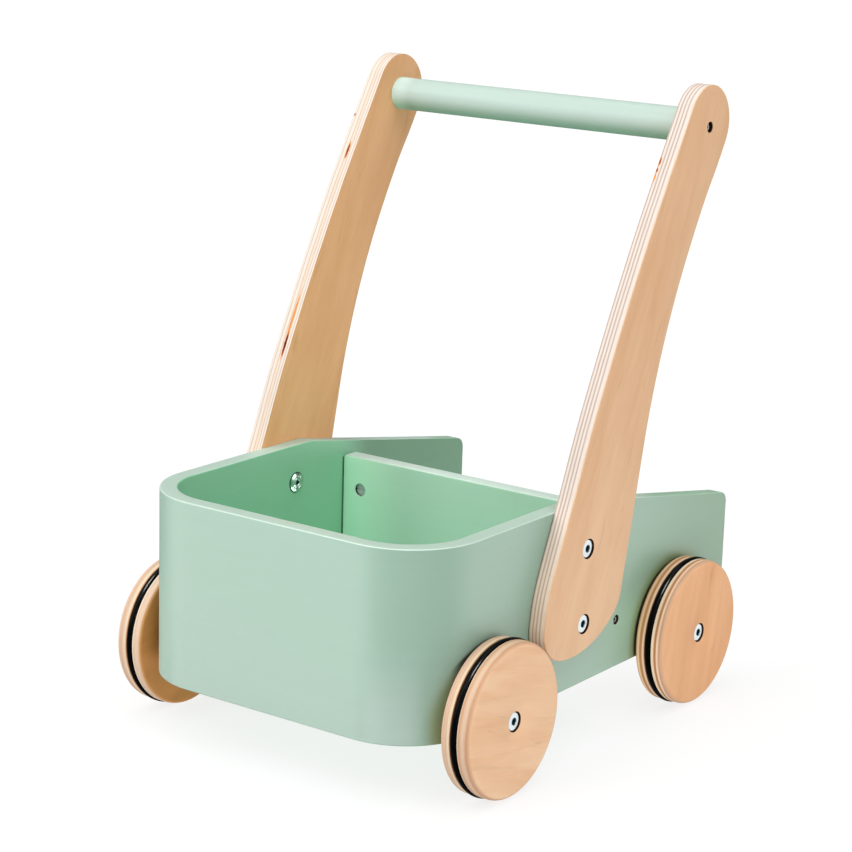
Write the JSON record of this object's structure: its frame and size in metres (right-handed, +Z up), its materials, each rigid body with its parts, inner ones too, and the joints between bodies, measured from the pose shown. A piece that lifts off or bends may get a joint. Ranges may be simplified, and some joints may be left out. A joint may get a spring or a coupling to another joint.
{
  "type": "baby push walker",
  "caption": "Wooden baby push walker: a painted bent-plywood toy box on free-rolling wheels with rubber rings, pushed by a round bar held between two leaning plywood arms.",
  "frame": {"origin": "on the ground under the middle of the walker's bounding box", "axes": "+Z up, the closed rounded end of the tub faces -Y, the bar and the open rear are towards +Y, +X is the right-hand side seen from the closed end"},
  "size_m": [0.3314, 0.42, 0.4931],
  "materials": {
    "paint_wall": "satin mint paint on bent plywood",
    "paint_panel": "satin mint paint on plywood",
    "paint_bar": "satin mint paint on a round wooden bar",
    "arm_ply": "clear-lacquered birch plywood",
    "wheel_ply": "clear-lacquered birch plywood",
    "zinc": "bright zinc plate",
    "dark_zinc": "dull zinc plate",
    "ring_rubber": "smooth black rubber",
    "nylon": "natural nylon"
  },
  "bodies": {
    "chassis": {"tub_wall": "paint_wall", "floor_panel": "paint_panel", "partition_panel": "paint_panel", "arm_left": "arm_ply", "arm_right": "arm_ply", "handle_bar": "paint_bar", "handle_screws": "zinc", "arm_bolts": "zinc", "arm_nuts": "zinc", "partition_bolts": "dark_zinc", "barrel_nuts": "dark_zinc", "axle_bolts": "zinc", "axle_nuts": "zinc", "axle_washers": "nylon"},
    "front_left_wheel": {"wheel_front_left": "wheel_ply", "tyre_front_left": "ring_rubber", "bush_front_left": "nylon"},
    "front_right_wheel": {"wheel_front_right": "wheel_ply", "tyre_front_right": "ring_rubber", "bush_front_right": "nylon"},
    "rear_left_wheel": {"wheel_rear_left": "wheel_ply", "tyre_rear_left": "ring_rubber", "bush_rear_left": "nylon"},
    "rear_right_wheel": {"wheel_rear_right": "wheel_ply", "tyre_rear_right": "ring_rubber", "bush_rear_right": "nylon"}
  },
  "joints": [
    {"name": "front_left_spin", "type": "hinge", "parent": "chassis", "child": "front_left_wheel", "pos_m": [-0.1535, -0.1332, 0.0591], "axis": [1, 0, 0], "continuous": true},
    {"name": "front_right_spin", "type": "hinge", "parent": "chassis", "child": "front_right_wheel", "pos_m": [0.1535, -0.1332, 0.0591], "axis": [1, 0, 0], "continuous": true},
    {"name": "rear_left_spin", "type": "hinge", "parent": "chassis", "child": "rear_left_wheel", "pos_m": [-0.1535, 0.1284, 0.0591], "axis": [1, 0, 0], "continuous": true},
    {"name": "rear_right_spin", "type": "hinge", "parent": "chassis", "child": "rear_right_wheel", "pos_m": [0.1535, 0.1284, 0.0591], "axis": [1, 0, 0], "continuous": true}
  ]
}
